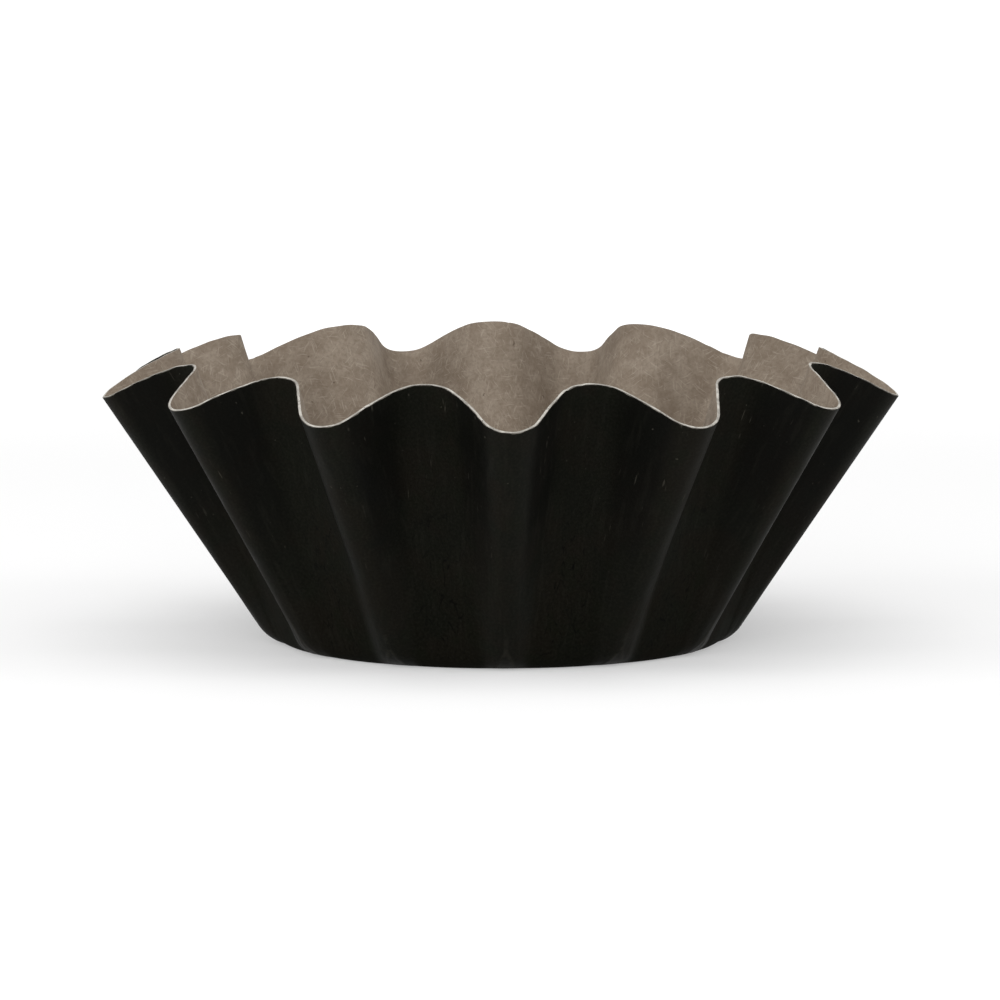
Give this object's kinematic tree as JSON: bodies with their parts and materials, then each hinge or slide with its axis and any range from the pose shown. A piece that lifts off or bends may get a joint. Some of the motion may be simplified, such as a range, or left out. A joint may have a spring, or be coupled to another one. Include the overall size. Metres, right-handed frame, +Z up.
{
  "type": "cupcake liner",
  "caption": "Round pressed paper baking cup: a flat base with a shallow round recess, and a flaring wall of deep rounded flutes, open at the top.",
  "frame": {"origin": "on the cup's centre line, at the surface that its flat base stands on", "axes": "+Z up the centre line, out of the mouth; -Y through the crest of one flute"},
  "size_m": [0.0878, 0.0872, 0.0321],
  "materials": {
    "coated_paper": "greaseproof paper, satin brown-black coating outside, taupe inside, pale cut edge"
  },
  "bodies": {
    "root": {"liner": "coated_paper"}
  },
  "joints": []
}
